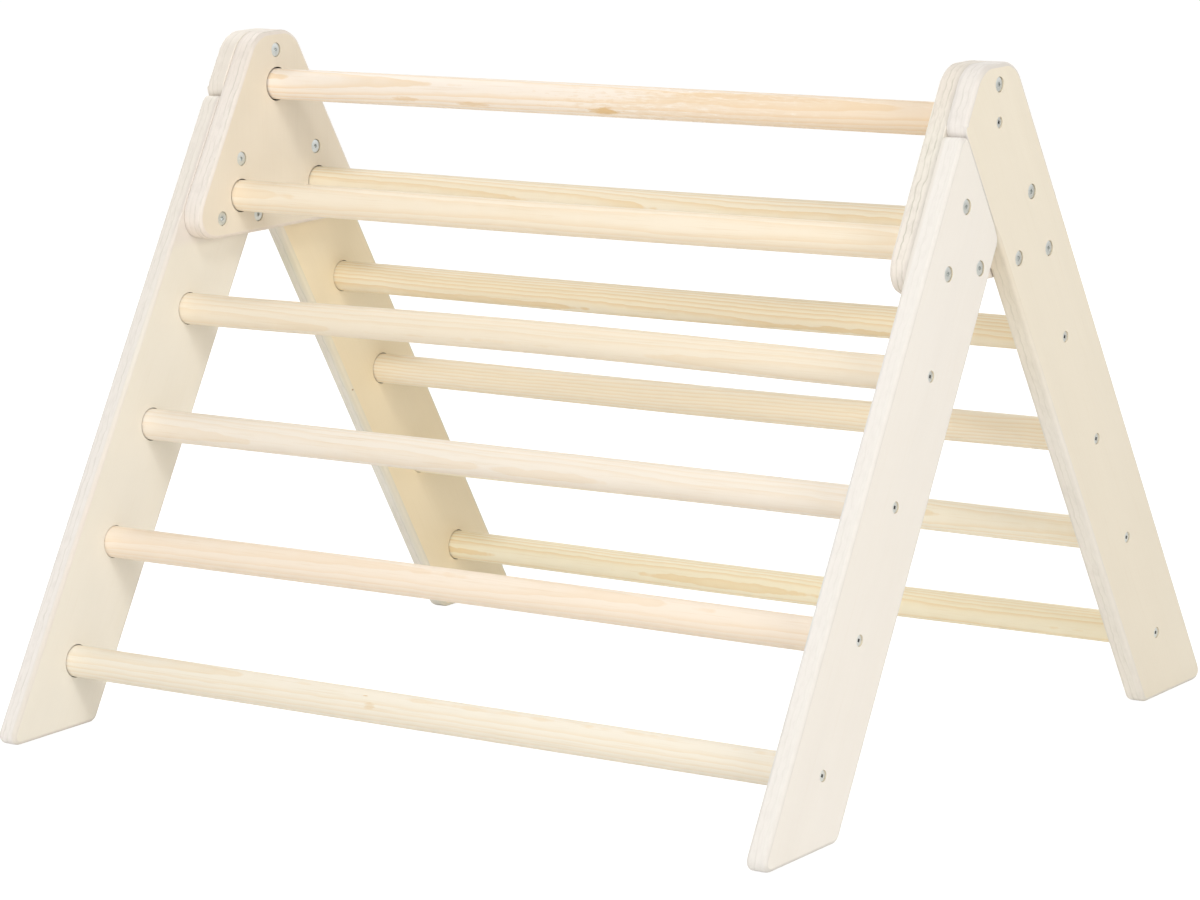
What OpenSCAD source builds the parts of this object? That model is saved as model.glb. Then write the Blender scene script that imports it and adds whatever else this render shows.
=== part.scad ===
// Climbing triangle for small children.
// Two A-shaped side frames of birch plywood carry round pine rungs between them.
// Each side frame is a gusset plate with a back leg and a front leg bolted to its
// outer face. The two legs lie in one plane: the front leg's end butts against
// the back leg's inner edge, under the back leg's head.
// Millimetres. X runs along the rungs, Y from front to back, Z up from the floor.
// The origin is on the floor, in the middle of the footprint.

/* [Overall] */
// Clear width between the inner faces of the left and right legs
clear_width = 800; // [500:5:1000]
// Lean of every leg from the vertical, in degrees
leg_lean = 30.4; // [26:0.1:35]
// Height of the top rung's centre above the floor
top_rung_height = 578.5; // [450:0.5:700]
// Height of the side frames' flat top above the floor
frame_height = 630; // [500:1:760]

/* [Boards] */
// Thickness of the plywood of legs and gusset plates
board_thickness = 20; // [15:0.5:25]
// Width of each leg
leg_width = 104.5; // [80:0.5:120]
// Sloping edge of the gusset plate, measured out from the line of the rungs
gusset_reach = 51; // [40:0.5:60]
// Height of the gusset plate's bottom edge above the floor
gusset_bottom = 438; // [380:1:480]
// Radius that eases the boards' long edges
edge_radius = 4; // [1:0.5:6]
// Radius that eases the edges of gusset plate and head where the two are pressed together
joint_edge_radius = 1; // [0.5:0.5:4]

/* [Board corners] */
// Radius of the two top corners of head and gusset plate
head_radius = 30; // [10:1:35]
// Radius of the head's lower front corner, above the front leg's end
nub_radius = 14; // [6:1:20]
// Radius of the front leg's pointed tip
tip_radius = 8; // [3:0.5:12]
// Radius of the front leg's inner end corner
crotch_radius = 12; // [4:1:20]
// Radius of the gusset plate's lower corners
gusset_radius = 27; // [10:1:30]
// Radius of the corners of the feet
foot_radius = 10; // [4:1:15]

/* [Rungs] */
// Diameter of every rung
rung_diameter = 30; // [22:1:35]
// Diameter of the blind sockets that hold the rung ends
socket_diameter = 33; // [24:0.5:37]
// Depth of the blind sockets
socket_depth = 12; // [8:0.5:14]
// Distance along the leg from the top rung to the upper rungs in the gusset plates
upper_rung_step = 118.5; // [90:0.5:140]
// Distance along the leg from one rung to the next below the gusset plates
rung_pitch = 119.7; // [90:0.1:140]

/* [Connector bolts] */
// Diameter of the flat heads of bolts and sleeve nuts
bolt_head_diameter = 13.5; // [11:0.5:16]
// Thickness of the flat heads
bolt_head_thickness = 2.5; // [1.5:0.5:4]
// Depth of the heads below the board's face
bolt_head_sink = 0.3; // [0:0.1:3]
// Diameter of the bolt's shank
bolt_diameter = 6; // [4:1:8]
// Outer diameter of the sleeve nut's barrel
sleeve_diameter = 9; // [7:0.5:11]
// Length of the sleeve nut's barrel under its head
sleeve_length = 24; // [15:1:30]
// Length of the bolt's shank under its head
bolt_length = 25; // [15:1:30]
// Width across flats of the hexagon sockets in the heads
hex_width = 4; // [3:1:6]
// Height of the top bolt above the top rung's centre
top_bolt_rise = 33; // [28:1:40]
// Offset of the two outer leg bolts from the line of the rungs
outer_bolt_offset = 16; // [10:1:30]
// Distance along the leg from the upper rung to each outer leg bolt
outer_bolt_step = 31.5; // [25:0.5:40]
// Offset of the inner leg bolt from the line of the rungs
inner_bolt_offset = 32.5; // [25:0.5:38]
// Distance along the leg from the upper rung to the inner leg bolt
inner_bolt_step = 5.5; // [0:0.5:15]

/* [Rung screws] */
// Diameter of the countersunk heads
screw_head_diameter = 9.6; // [8:0.1:12]
// Diameter of the screws' shanks
screw_diameter = 5; // [4:0.5:6]
// Depth of the heads below the board's face
screw_head_sink = 1; // [0.5:0.5:2]
// Length of the screws that hold a rung through one board
screw_length = 50; // [35:1:70]
// Length of the screws that hold the top rung through both boards
top_screw_length = 70; // [55:1:90]

/* [Part shown] */
// Name of the one part to draw, or all

/* [Hidden] */
left = -1;
right = 1;
front = -1;
back = 1;
birch = [0.93, 0.87, 0.76];
pine = [0.93, 0.79, 0.55];
zinc = [0.74, 0.77, 0.79];
// Half the leg's width, from the line of the rungs to either edge.
half_leg = leg_width / 2;
// Faces along X: gusset plate inside, then the joint plane, then the leg's outer face.
inner_x = clear_width / 2 - board_thickness;
joint_x = clear_width / 2;
outer_x = clear_width / 2 + board_thickness;
// Gap between the front leg's end and the back leg's inner edge.
butt_gap = 0.3;
// Clearance of holes round shanks and barrels, on the diameter.
hole_play = 0.4;
// Counterbores are this much wider than the heads they take.
counterbore_play = 1;
// Positions along the leg, from the top rung, of the rungs that sit in the legs.
leg_rungs = [for (i = [1:4]) upper_rung_step + i * rung_pitch];
// Extra length that lets cutters pass clean through a face.
over = 1;

// Point [y, z] at a distance down a leg and a distance out from the line of the rungs.
function on_leg(face, down, out) = [
    face * (down * sin(leg_lean) + out * cos(leg_lean)),
    top_rung_height - down * cos(leg_lean) + out * sin(leg_lean)
];
// Point [y, z] where a line parallel to a leg reaches a height.
function at_height(face, out, z) =
    on_leg(face, (top_rung_height - z + out * sin(leg_lean)) / cos(leg_lean), out);
// Point [y, z] where a line along the front leg crosses a line along the back leg.
function crossing(front_out, back_out) = [
    (back_out - front_out) / (2 * cos(leg_lean)),
    top_rung_height + (front_out + back_out) / (2 * sin(leg_lean))
];
function unit(v) = v / norm(v);

// Corner points [y, z] of the boards, each list with its corner radii.
back_leg_corners = [
    at_height(back, -half_leg, 0), at_height(back, half_leg, 0),
    at_height(back, half_leg, frame_height), at_height(front, half_leg, frame_height),
    crossing(half_leg, -half_leg)
];
back_leg_radii = [foot_radius, foot_radius, head_radius, head_radius, nub_radius];
front_leg_corners = [
    at_height(front, half_leg, 0), at_height(front, -half_leg, 0),
    crossing(-half_leg, -half_leg - butt_gap), crossing(half_leg, -half_leg - butt_gap)
];
front_leg_radii = [foot_radius, foot_radius, crotch_radius, tip_radius];
gusset_corners = [
    at_height(front, gusset_reach, gusset_bottom), at_height(back, gusset_reach, gusset_bottom),
    at_height(back, gusset_reach, frame_height), at_height(front, gusset_reach, frame_height)
];
gusset_radii = [gusset_radius, gusset_radius, head_radius, head_radius];
// Easing of each edge, from the first corner to the second and so on, on a board's
// face nearer the middle and on its face farther out.
eased_4 = [for (i = [1:4]) edge_radius];
eased_5 = [for (i = [1:5]) edge_radius];
gusset_outer_easing = [for (i = [1:4]) joint_edge_radius];
back_leg_inner_easing = [
    edge_radius, edge_radius, joint_edge_radius, joint_edge_radius, edge_radius
];

// Bolt positions [y, z] in a side frame.
function leg_bolts(face) = [
    on_leg(face, upper_rung_step - outer_bolt_step, outer_bolt_offset),
    on_leg(face, upper_rung_step + outer_bolt_step, outer_bolt_offset),
    on_leg(face, upper_rung_step + inner_bolt_step, -inner_bolt_offset)
];
top_bolt = [0, top_rung_height + top_bolt_rise];
bolt_points = concat([top_bolt], leg_bolts(front), leg_bolts(back));

// Directions from each corner of an outline to the corners before and after it.
function side_ways(corners) = [for (i = [0:len(corners) - 1]) [
    unit(corners[(i + len(corners) - 1) % len(corners)] - corners[i]),
    unit(corners[(i + 1) % len(corners)] - corners[i])
]];
// Half of the angle inside each corner.
function half_angles(ways) = [for (w = ways) acos(w[0] * w[1]) / 2];
// Centres of the arcs that round the corners.
function arc_centres(corners, radii, ways, halves) = [for (i = [0:len(corners) - 1])
    corners[i] + unit(ways[i][0] + ways[i][1]) * radii[i] / sin(halves[i])];

// A convex outline with rounded corners: the polygon through the points where the
// corner arcs begin and end, together with a circle in each corner.
module rounded_outline(corners, radii) {
    ways = side_ways(corners);
    halves = half_angles(ways);
    centres = arc_centres(corners, radii, ways, halves);
    polygon([for (i = [0:len(corners) - 1]) for (k = [0, 1])
        corners[i] + ways[i][k] * radii[i] / tan(halves[i])]);
    for (i = [0:len(corners) - 1])
        translate(centres[i]) circle(r = radii[i], $fn = 64);
}

// A board's section across one straight edge: the board's thickness in X, with its
// two corners at Y = 0 eased.
module eased_section(thickness, reach, low_easing, high_easing) {
    translate([0, -reach])
        square([thickness / 2, reach - low_easing]);
    translate([thickness / 2, -reach])
        square([thickness / 2, reach - high_easing]);
    translate([low_easing, -reach])
        square([thickness - low_easing - high_easing, reach]);
    translate([low_easing, -low_easing])
        circle(r = low_easing, $fn = 48);
    translate([thickness - high_easing, -high_easing])
        circle(r = high_easing, $fn = 48);
}

// A slab of a board's thickness that ends along the line between two corners [y, z],
// where its edges are eased.
module eased_slab(start, end, low_x, high_x, low_easing, high_easing) {
    way = unit(end - start);
    reach = 2000;
    translate([low_x, start[0], start[1]])
        rotate([atan2(-way[0], way[1]), 0, 0])
            translate([0, 0, -reach])
                linear_extrude(height = 2 * reach)
                    eased_section(high_x - low_x, reach, low_easing, high_easing);
}

// A board between two X planes, given by the corners of its outline in Y and Z, listed
// anticlockwise, and a radius for each corner. Its straight edges are eased, each by
// its own radius on either face.
module board(corners, radii, low_x, high_x, low_easing, high_easing) {
    count = len(corners);
    intersection() {
        translate([low_x, 0, 0])
            rotate([90, 0, 90])
                linear_extrude(height = high_x - low_x)
                    rounded_outline(corners, radii);
        intersection_for (i = [0:count - 1])
            eased_slab(corners[i], corners[(i + 1) % count], low_x, high_x,
                low_easing[i], high_easing[i]);
    }
}

// A cylinder along X between two X planes, at a point [y, z].
module bar_x(point, low_x, high_x, diameter, sides = 48) {
    translate([low_x, point[0], point[1]])
        rotate([0, 90, 0])
            cylinder(d = diameter, h = high_x - low_x, $fn = sides);
}

// A cone along X at a point [y, z], from one X plane and diameter to another.
module cone_x(point, low_x, high_x, low_d, high_d) {
    translate([low_x, point[0], point[1]])
        rotate([0, 90, 0])
            cylinder(d1 = low_d, d2 = high_d, h = high_x - low_x, $fn = 48);
}

// Draws its children on the right, or mirrored on the left.
module on_side(side) {
    if (side == right) {
        children();
    } else {
        mirror([1, 0, 0]) children();
    }
}

// Holes for a connector bolt: counterbores in both outer faces and a hole between.
module bolt_hole(point) {
    bore = bolt_head_diameter + counterbore_play;
    deep = bolt_head_sink + bolt_head_thickness;
    bar_x(point, inner_x - over, outer_x + over, sleeve_diameter + hole_play);
    bar_x(point, inner_x - over, inner_x + deep, bore);
    bar_x(point, outer_x - deep, outer_x + over, bore);
}

// Countersunk hole for a rung screw whose head sits in the face at face_x.
module screw_hole(point, face_x, floor_x) {
    mouth = screw_head_diameter + 2 * screw_head_sink + hole_play;
    hole = screw_diameter + hole_play;
    bar_x(point, floor_x - over, face_x + over, hole);
    cone_x(point, face_x - (mouth - hole) / 2, face_x, hole, mouth);
    bar_x(point, face_x, face_x + over, mouth);
}

// Blind socket for a rung end, open towards the middle of the triangle.
module socket(point, face_x) {
    bar_x(point, face_x - over, face_x + socket_depth, socket_diameter);
}

module gusset_plate(side) {
    upper = [on_leg(front, upper_rung_step, 0), on_leg(back, upper_rung_step, 0)];
    top = on_leg(front, 0, 0);
    color(birch) on_side(side) difference() {
        board(gusset_corners, gusset_radii, inner_x, joint_x, eased_4, gusset_outer_easing);
        for (point = bolt_points) bolt_hole(point);
        for (point = upper) {
            socket(point, inner_x);
            screw_hole(point, joint_x, inner_x);
        }
        socket(top, inner_x);
        bar_x(top, inner_x, joint_x + over, screw_diameter + hole_play);
    }
}

module back_leg(side) {
    color(birch) on_side(side) difference() {
        board(back_leg_corners, back_leg_radii, joint_x, outer_x,
            back_leg_inner_easing, eased_5);
        bolt_hole(top_bolt);
        for (point = leg_bolts(back)) bolt_hole(point);
        for (down = leg_rungs) {
            socket(on_leg(back, down, 0), joint_x);
            screw_hole(on_leg(back, down, 0), outer_x, joint_x);
        }
        screw_hole(on_leg(front, 0, 0), outer_x, joint_x);
    }
}

module front_leg(side) {
    color(birch) on_side(side) difference() {
        board(front_leg_corners, front_leg_radii, joint_x, outer_x, eased_4, eased_4);
        for (point = leg_bolts(front)) bolt_hole(point);
        for (down = leg_rungs) {
            socket(on_leg(front, down, 0), joint_x);
            screw_hole(on_leg(front, down, 0), outer_x, joint_x);
        }
    }
}

// A rung between two sockets whose mouths are at plus and minus mouth_x. Both ends
// have a pilot hole for the screw tip that reaches in to screw_x.
module rung(point, mouth_x, screw_x) {
    end_x = mouth_x + socket_depth;
    pilot = screw_diameter + hole_play / 2;
    color(pine) difference() {
        bar_x(point, -end_x, end_x, rung_diameter, 96);
        bar_x(point, screw_x - 2, end_x + over, pilot);
        bar_x(point, -end_x - over, 2 - screw_x, pilot);
    }
}

module top_rung() {
    rung(on_leg(front, 0, 0), inner_x, outer_x - screw_head_sink - top_screw_length);
}

module upper_rung(face) {
    rung(on_leg(face, upper_rung_step, 0), inner_x, joint_x - screw_head_sink - screw_length);
}

module leg_rung(face, number) {
    rung(on_leg(face, leg_rungs[number - 1], 0), joint_x,
        outer_x - screw_head_sink - screw_length);
}

// A hexagon socket cut along X.
module hex_socket(point, low_x, high_x) {
    bar_x(point, low_x, high_x, hex_width / cos(30), 6);
}

module connector_bolt(point) {
    top_x = outer_x - bolt_head_sink;
    under_x = top_x - bolt_head_thickness;
    difference() {
        union() {
            bar_x(point, under_x, top_x, bolt_head_diameter);
            bar_x(point, under_x - bolt_length, under_x + over, bolt_diameter);
        }
        hex_socket(point, top_x - 2, top_x + over);
    }
}

module sleeve_nut(point) {
    top_x = inner_x + bolt_head_sink;
    under_x = top_x + bolt_head_thickness;
    difference() {
        union() {
            bar_x(point, top_x, under_x, bolt_head_diameter);
            bar_x(point, under_x - over, under_x + sleeve_length, sleeve_diameter);
        }
        hex_socket(point, top_x - over, top_x + 2);
        bar_x(point, under_x + 0.5, under_x + sleeve_length + over, bolt_diameter + hole_play);
    }
}

// A countersunk screw along X whose head faces outwards.
module rung_screw(point, face_x, length) {
    top_x = face_x - screw_head_sink;
    tip_x = top_x - length;
    head = (screw_head_diameter - screw_diameter) / 2;
    difference() {
        union() {
            bar_x(point, tip_x + 5, top_x - head, screw_diameter);
            cone_x(point, top_x - head, top_x, screw_diameter, screw_head_diameter);
            cone_x(point, tip_x, tip_x + 5, 0.6, screw_diameter);
        }
        for (turn = [0, 90])
            translate([top_x - 2, point[0], point[1]])
                rotate([turn, 0, 0])
                    translate([0, -2.4, -0.5])
                        cube([2 + over, 4.8, 1]);
    }
}

module connector_bolts(side) {
    color(zinc) on_side(side) for (point = bolt_points) connector_bolt(point);
}

module sleeve_nuts(side) {
    color(zinc) on_side(side) for (point = bolt_points) sleeve_nut(point);
}

module leg_rung_screws(side) {
    color(zinc) on_side(side)
        for (face = [front, back])
            for (down = leg_rungs)
                rung_screw(on_leg(face, down, 0), outer_x, screw_length);
}

module gusset_rung_screws(side) {
    color(zinc) on_side(side)
        for (face = [front, back])
            rung_screw(on_leg(face, upper_rung_step, 0), joint_x, screw_length);
}

module top_rung_screw(side) {
    color(zinc) on_side(side) rung_screw(on_leg(front, 0, 0), outer_x, top_screw_length);
}

gusset_plate(left);  // left_gusset_plate
gusset_plate(right);  // right_gusset_plate
back_leg(left);  // left_back_leg
back_leg(right);  // right_back_leg
front_leg(left);  // left_front_leg
front_leg(right);  // right_front_leg
top_rung();
upper_rung(front);  // upper_front_rung
leg_rung(front, 1);  // front_rung_1
leg_rung(front, 2);  // front_rung_2
leg_rung(front, 3);  // front_rung_3
leg_rung(front, 4);  // front_rung_4
upper_rung(back);  // upper_back_rung
leg_rung(back, 1);  // back_rung_1
leg_rung(back, 2);  // back_rung_2
leg_rung(back, 3);  // back_rung_3
leg_rung(back, 4);  // back_rung_4
connector_bolts(left);  // left_connector_bolts
connector_bolts(right);  // right_connector_bolts
sleeve_nuts(left);  // left_sleeve_nuts
sleeve_nuts(right);  // right_sleeve_nuts
leg_rung_screws(left);  // left_leg_rung_screws
leg_rung_screws(right);  // right_leg_rung_screws
gusset_rung_screws(left);  // left_gusset_rung_screws
gusset_rung_screws(right);  // right_gusset_rung_screws
top_rung_screw(left);  // left_top_rung_screw
top_rung_screw(right);  // right_top_rung_screw
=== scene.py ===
from math import acos, ceil, cos, pi, radians, sin, tan

import bmesh
import bpy
from mathutils import Matrix, Vector


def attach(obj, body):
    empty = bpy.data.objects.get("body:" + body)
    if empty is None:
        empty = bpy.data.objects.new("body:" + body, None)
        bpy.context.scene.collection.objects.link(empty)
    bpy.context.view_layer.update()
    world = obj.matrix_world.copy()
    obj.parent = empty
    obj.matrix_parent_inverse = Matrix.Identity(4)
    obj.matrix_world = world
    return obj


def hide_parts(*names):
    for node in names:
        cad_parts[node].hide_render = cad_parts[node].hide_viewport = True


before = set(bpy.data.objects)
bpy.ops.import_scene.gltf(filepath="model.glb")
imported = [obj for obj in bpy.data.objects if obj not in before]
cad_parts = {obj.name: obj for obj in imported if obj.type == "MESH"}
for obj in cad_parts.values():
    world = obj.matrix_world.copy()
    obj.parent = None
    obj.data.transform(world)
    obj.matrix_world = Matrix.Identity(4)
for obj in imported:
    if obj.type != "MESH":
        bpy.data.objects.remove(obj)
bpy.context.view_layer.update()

# Sizes are in metres. X runs along the rungs, Y from front to back and Z up from the floor.
# Shapes in a side frame are points of (y, z). Fasteners and holes are given by their radii.

FRONT, BACK = -1, 1
LEFT, RIGHT = -1, 1
SLOPE_NAMES = {FRONT: "front", BACK: "back"}
SIDE_NAMES = {LEFT: "left", RIGHT: "right"}

# Side frames: each leg leans from upright, and out is measured across it from its middle line.
# EASE is the full easing of an edge. The shares of it are for the edges that are pressed against
# another board, and for the butt joint, where the front leg's end meets the back leg.
LEAN = radians(30.4)
TOP = 0.630
HALF_LEG = 0.05225
GUSSET_REACH = 0.051
GUSSET_BOTTOM = 0.438
HEAD_CORNER = 0.030
NUB_CORNER = 0.014
TIP_CORNER = 0.008
CROTCH_CORNER = 0.010
FOOT_CORNER = 0.010
GUSSET_CORNER = 0.027
EASE = 0.004
PRESSED_EASE = 0.25
PRESSED_BLEND = 0.030
PRESSED_BAND = 0.006
PRESSED_HEAD = 0.030
BUTT_EASE = 0.2
BUTT_EASE_FROM, BUTT_EASE_TO = -0.02, 0.12
BUTT_BAND = 0.003
BUTT_SPLITS = (0.15, 0.3, 0.45, 0.7)
BUTT_GAP_LOW, BUTT_GAP_TIP = 0.0009, 0.0003

# Distances from the middle: the gusset plate's inner face, its joint with the legs, their outer face.
INNER, JOINT, OUTER = 0.380, 0.400, 0.420
BOARD = 0.020

# Rungs: steps down the legs from the top rung, and sockets a little wider than the rungs.
TOP_RUNG = 0.5785
UPPER_STEP = 0.1185
RUNG_PITCH = 0.1197
LEG_STEPS = [UPPER_STEP + step * RUNG_PITCH for step in (1, 2, 3, 4)]
RUNG_RADIUS = 0.0150
RUNG_CHAMFER = 0.0008
RUNG_SPANS = 24
SOCKET_DEPTH = 0.012
TOP_SOCKET = 0.0165
UPPER_SOCKET = 0.0161
LEG_SOCKETS = [0.0156, 0.0158, 0.0155, 0.0158]

# Connector bolts and their sleeve nuts. Each leg has a pair of them, above and below the upper
# rung, and a third one towards its inner edge. The heads have a hexagonal recess for a key.
PAIR_SPREAD, PAIR_OUT = 0.0315, 0.016
THIRD_BELOW, THIRD_IN = 0.0055, 0.0325
TOP_BOLT_RISE = 0.033
BOLT_HEAD = 0.00675
HEAD_THICKNESS = 0.0025
HEAD_SINK = 0.0008
BOLT_SHANK = 0.0030
BOLT_LENGTH = 0.0275
SLEEVE = 0.0045
SLEEVE_BORE = 0.0032
SLEEVE_LENGTH = 0.0265
KEY_WIDTH = 0.004
KEY_DEPTH = 0.002
KEY_BEYOND = 0.001
HEAD_HOLE = 0.0069
SLEEVE_HOLE = 0.0047

# Rung screws, countersunk, in a hole through the board and a pilot hole in the rung. The thread
# starts at a distance from the tip and ends at one below the head.
SCREW_HEAD = 0.0047
SCREW_SINK = 0.001
SCREW_CORE = 0.0019
SCREW_THREAD = 0.0025
THREAD_PITCH = 0.0024
THREAD_FROM_TIP, THREAD_FROM_HEAD = 0.006, 0.012
SCREW_LENGTH = 0.050
TOP_SCREW_LENGTH = 0.070
SCREW_HOLE = 0.0027
PILOT_HOLE = 0.0026
PILOT_REACH = 0.033
COUNTERSINK = 0.0050
GUSSET_HOLE_START = INNER + 0.006
CROSS_BAR = (0.004, 0.0054, 0.0015)
CROSS_TAPER = 0.35
CROSS_TURN = 0.4

# How far a cutter stands out of the face that it cuts.
BEYOND = 0.002

# Fine forms of the wood catch the light as bumps of this height.
BUMP_HEIGHT = 0.0002


# ---- places in a side frame ----

def on_leg(slope, down, out):
    """The point that far down a leg from the top rung, and that far out from its middle line."""
    return Vector((slope * (down * sin(LEAN) + out * cos(LEAN)),
                   TOP_RUNG - down * cos(LEAN) + out * sin(LEAN)))


def at_height(slope, out, z):
    """The point at a height, that far out from a leg's middle line."""
    return on_leg(slope, (TOP_RUNG - z + out * sin(LEAN)) / cos(LEAN), out)


def crossing(front_out, back_out):
    """Where a line along the front leg meets one along the back leg."""
    return Vector(((back_out - front_out) / (2 * cos(LEAN)),
                   TOP_RUNG + (front_out + back_out) / (2 * sin(LEAN))))


def leg_bolts(slope):
    return [on_leg(slope, UPPER_STEP - PAIR_SPREAD, PAIR_OUT),
            on_leg(slope, UPPER_STEP + PAIR_SPREAD, PAIR_OUT),
            on_leg(slope, UPPER_STEP + THIRD_BELOW, -THIRD_IN)]


TOP_BOLT = Vector((0, TOP_RUNG + TOP_BOLT_RISE))
ALL_BOLTS = [TOP_BOLT] + leg_bolts(FRONT) + leg_bolts(BACK)
BUTT_LOW = crossing(-HALF_LEG, -HALF_LEG)
BUTT_HIGH = crossing(HALF_LEG, -HALF_LEG)


# ---- meshes ----

def piece(name, bm, node, material):
    """Turns a bmesh into a finished piece that stands for one CAD node."""
    bmesh.ops.recalc_face_normals(bm, faces=bm.faces[:])
    mesh = bpy.data.meshes.new(name)
    bm.to_mesh(mesh)
    bm.free()
    mesh.shade_smooth()
    mesh.set_sharp_from_angle(angle=radians(40))
    mesh.materials.append(material)
    made = bpy.data.objects.new(name, mesh)
    bpy.context.scene.collection.objects.link(made)
    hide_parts(node)
    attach(made, "root")
    return made


def lathe(bm, point, side, profile, steps=48):
    """Spins a profile of (x, radius) pairs, from the axis to the axis, about the line along X
    through a point."""
    verts = [bm.verts.new((side * x, point[0], point[1] + radius)) for x, radius in profile]
    edges = [bm.edges.new(pair) for pair in zip(verts, verts[1:])]
    bmesh.ops.spin(bm, geom=verts + edges, cent=(0, point[0], point[1]),
                   axis=(1, 0, 0), angle=2 * pi, steps=steps, use_merge=True)
    bmesh.ops.remove_doubles(bm, verts=bm.verts[:], dist=1e-6)


def cut(made, cutters, lining):
    """Cuts the closed shapes of a bmesh out of a piece. The walls of the holes take the lining."""
    bmesh.ops.recalc_face_normals(cutters, faces=cutters.faces[:])
    mesh = bpy.data.meshes.new("cutters")
    cutters.to_mesh(mesh)
    cutters.free()
    mesh.materials.append(lining)
    tool = bpy.data.objects.new("cutters", mesh)
    bpy.context.scene.collection.objects.link(tool)
    modifier = made.modifiers.new("holes", "BOOLEAN")
    modifier.solver = "EXACT"
    modifier.material_mode = "TRANSFER"
    modifier.object = tool
    bpy.context.view_layer.update()
    seen = made.evaluated_get(bpy.context.evaluated_depsgraph_get())
    result = bpy.data.meshes.new_from_object(seen)
    result.name = made.name
    made.modifiers.clear()
    made.data = result
    bpy.data.objects.remove(tool)
    result.shade_smooth()
    result.set_sharp_from_angle(angle=radians(35))


def outline(corners, radii):
    """A flat face in the plane X = 0 with rounded corners."""
    bm = bmesh.new()
    verts = [bm.verts.new((0, y, z)) for y, z in corners]
    bm.faces.new(verts)
    count = len(corners)
    for i, (corner, radius) in enumerate(zip(corners, radii)):
        if not radius:
            continue
        ways = [(corners[i - 1] - corner).normalized(),
                (corners[(i + 1) % count] - corner).normalized()]
        half = acos(ways[0].dot(ways[1])) / 2
        bm.verts.ensure_lookup_table()
        vert = min(bm.verts, key=lambda v: (v.co.yz - corner).length)
        bmesh.ops.bevel(bm, geom=[vert], offset=radius / tan(half), offset_type="OFFSET",
                        segments=9, profile=0.5, affect="VERTICES", material=-1)
    return bm


def nearest(line, point):
    """The point of a closed line that is nearest to a point."""
    best = None
    for a, b in zip(line, line[1:] + line[:1]):
        way = b - a
        share = max(0, min(1, (point - a).dot(way) / way.length_squared))
        spot = a + way * share
        if best is None or (point - spot).length < (point - best).length:
            best = spot
    return best


def board(corners, radii, side, low, high, easing):
    """A board with eased edges between two distances from the middle. easing(spot, x) gives
    how far the easing is kept at a spot of the outline on the face at x, from 0 to 1."""
    bm = outline(corners, radii)
    rim = [corner.vert.co.yz for corner in bm.faces[:][0].loops]
    extruded = bmesh.ops.extrude_face_region(bm, geom=bm.faces[:])
    bmesh.ops.translate(bm, vec=(high - low, 0, 0),
                        verts=[v for v in extruded["geom"] if isinstance(v, bmesh.types.BMVert)])
    bmesh.ops.translate(bm, vec=(low, 0, 0), verts=bm.verts[:])
    bmesh.ops.recalc_face_normals(bm, faces=bm.faces[:])
    rims = [e for e in bm.edges if abs(e.verts[0].co.x - e.verts[1].co.x) < 1e-6]
    bmesh.ops.bevel(bm, geom=rims, offset=EASE, offset_type="OFFSET", segments=6,
                    profile=0.5, affect="EDGES", material=-1)
    for v in bm.verts:
        spot = nearest(rim, v.co.yz)
        inward = v.co.yz - spot
        face = low if v.co.x - low < high - v.co.x else high
        depth = v.co.x - face
        if inward.length < EASE * 1.01 and abs(depth) < EASE * 1.01:
            keep = easing(spot, face)
            v.co.yz = spot + inward * keep
            v.co.x = face + depth * keep
    if side == LEFT:
        bmesh.ops.scale(bm, vec=(-1, 1, 1), verts=bm.verts[:])
    return bm


# ---- materials ----

# What eased edges are darkened by, a painted shade that tones down the highlight they catch, and the
# spacing of the rings of a wave texture of scale 1.
EASED_SHADE = (0.915, 0.915, 0.915)
WAVE_SPACING = pi / 10


def wire(tree, kind, inputs=(), **settings):
    """Adds a node, sets it up, and gives its inputs values or the outputs of other nodes."""
    made = tree.nodes.new("ShaderNode" + kind)
    for name, value in settings.items():
        setattr(made, name, value)
    for name, value in dict(inputs).items():
        if isinstance(value, bpy.types.NodeSocket):
            tree.links.new(value, made.inputs[name])
        else:
            made.inputs[name].default_value = value
    return made


def maths(tree, operation, first, second=0.0, third=0.0):
    return wire(tree, "Math", {0: first, 1: second, 2: third}, operation=operation).outputs[0]


def vector_maths(tree, operation, first, second=(0, 0, 0), output="Vector"):
    return wire(tree, "VectorMath", {0: first, 1: second}, operation=operation).outputs[output]


def ramp(tree, factor, stops):
    """A colour ramp. Each stop is a place with a level of grey or with a colour."""
    made = wire(tree, "ValToRGB", {0: factor})
    points = made.color_ramp.elements
    while len(points) < len(stops):
        points.new(0.5)
    while len(points) > len(stops):
        points.remove(points[-1])
    for point, (place, level) in zip(points, stops):
        point.position = place
        point.color = (level, level, level, 1) if isinstance(level, (int, float)) else (*level, 1)
    return made.outputs[0]


def mix(tree, factor, first, second, blend="MIX"):
    made = wire(tree, "Mix", data_type="RGBA", blend_type=blend)
    for socket, value in ((made.inputs[0], factor), (made.inputs[6], first),
                          (made.inputs[7], second)):
        if isinstance(value, bpy.types.NodeSocket):
            tree.links.new(value, socket)
        else:
            socket.default_value = (*value, 1) if isinstance(value, tuple) else value
    return made.outputs[2]


def noise(tree, vector, detail, rough=0.5, distortion=0.0, output="Fac"):
    return wire(tree, "TexNoise", {"Vector": vector, "Scale": 1.0, "Detail": detail,
                                   "Roughness": rough, "Distortion": distortion}).outputs[output]


def stretched(tree, coords, scale, turn=0.0, shift=0.0):
    """Coordinates turned about X and shifted along it, and then stretched for a pattern."""
    moved = wire(tree, "Mapping", {"Vector": coords, "Location": (shift, 0, 0),
                                   "Rotation": (turn, 0, 0)}).outputs[0]
    return vector_maths(tree, "MULTIPLY", moved, scale)


def shaded(tone, red, green, blue):
    return tone[0] * red, tone[1] * green, tone[2] * blue


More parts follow.
